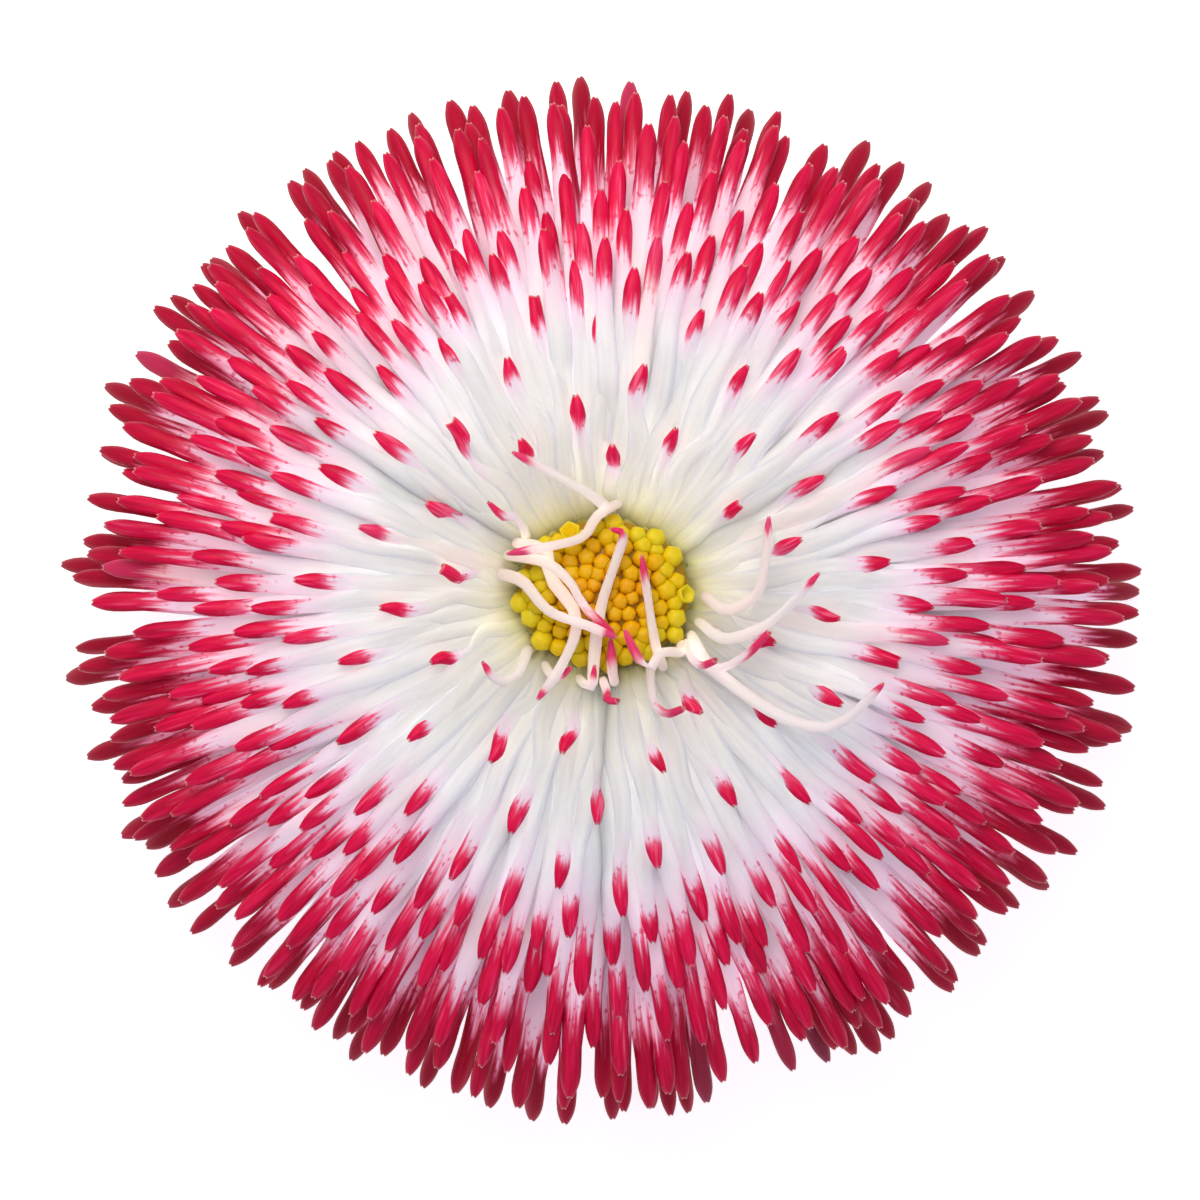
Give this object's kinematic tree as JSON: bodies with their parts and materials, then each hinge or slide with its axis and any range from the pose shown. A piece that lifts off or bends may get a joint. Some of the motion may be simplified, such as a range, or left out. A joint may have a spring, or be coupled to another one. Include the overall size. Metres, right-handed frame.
{
  "type": "double daisy flower head",
  "caption": "Picked double daisy, face up: quilled white petals with crimson tips round a small yellow disc, green bracts and a short cut stem beneath.",
  "frame": {"origin": "on the resting surface, under the middle of the bloom, on the flower's axis", "axes": "+Z up along the flower's axis, out of its face; +Y is up in the picture; +X is right in the picture"},
  "size_m": [0.0621, 0.0597, 0.0186],
  "materials": {
    "petal": "satin, white with streaked crimson tips",
    "disc": "satin yellow buds, amber in the middle and greener at the rim",
    "bract": "matt green, finely hairy",
    "stem": "matt pale green, finely hairy, with a moist cut end"
  },
  "bodies": {
    "root": {"ray_petals": "petal", "disc_florets": "disc", "involucre_bracts": "bract", "stem": "stem"}
  },
  "joints": []
}
